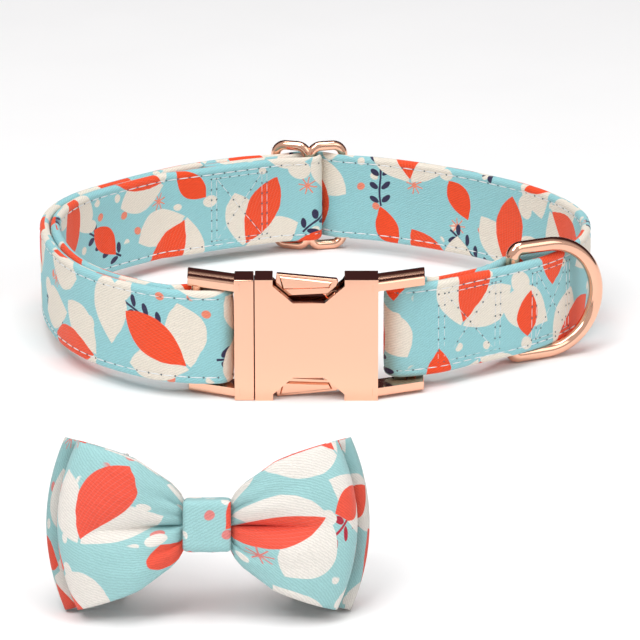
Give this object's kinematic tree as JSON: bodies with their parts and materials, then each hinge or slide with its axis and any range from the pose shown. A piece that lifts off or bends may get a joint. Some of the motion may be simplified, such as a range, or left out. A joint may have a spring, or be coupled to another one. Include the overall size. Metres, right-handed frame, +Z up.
{
  "type": "pet_bow_tie_collar",
  "caption": "Fastened fabric pet collar in an aqua print with rose gold side-release buckle, slider and leash ring, and its matching slip-on bow tie",
  "frame": {"origin": "on the surface that the collar and the bow stand on, at the middle of their common bounding box", "axes": "+Z is up, across the strap's width; -Y is the side with the buckle, and the bow stands further out that way; +X is to the right seen from the buckle's side, where the D-ring is"},
  "size_m": [0.1506, 0.282, 0.0381],
  "materials": {
    "strap_cloth": "printed cotton twill on a webbing core, matt, with white topstitching",
    "bow_cloth": "printed cotton of the bow, matt, folded and gathered",
    "elastic": "white woven elastic, matt",
    "rose_gold": "polished rose gold plate, smooth",
    "lever_rose_gold": "polished rose gold plate on the release pads",
    "ring_rose_gold": "polished rose gold plate on welded wire"
  },
  "bodies": {
    "collar": {"strap": "strap_cloth", "buckle_female": "rose_gold", "buckle_male": "rose_gold", "slider": "rose_gold", "bow_front": "bow_cloth", "bow_back": "bow_cloth", "bow_knot": "bow_cloth", "elastic_band_left": "elastic", "elastic_band_right": "elastic"},
    "lever_top": {"release_lever_top": "lever_rose_gold"},
    "lever_bottom": {"release_lever_bottom": "lever_rose_gold"},
    "leash_ring": {"d_ring": "ring_rose_gold"}
  },
  "joints": [
    {"name": "release_lever_top", "type": "hinge", "parent": "collar", "child": "lever_top", "pos_m": [0.0074, 0.00977, 0.0244], "axis": [0, -1, 0], "range_deg": [0, 12], "stiffness_Nm_per_rad": 0.02, "springref_deg": -20.05},
    {"name": "release_lever_bottom", "type": "hinge", "parent": "collar", "child": "lever_bottom", "pos_m": [0.0074, 0.00977, 0.008], "axis": [0, 1, 0], "range_deg": [0, 12], "stiffness_Nm_per_rad": 0.02, "springref_deg": -20.05},
    {"name": "d_ring_swing", "type": "hinge", "parent": "collar", "child": "leash_ring", "pos_m": [0.05081, 0.03487, 0.0162], "axis": [0, 0, 1], "range_deg": [-140, 0]}
  ]
}
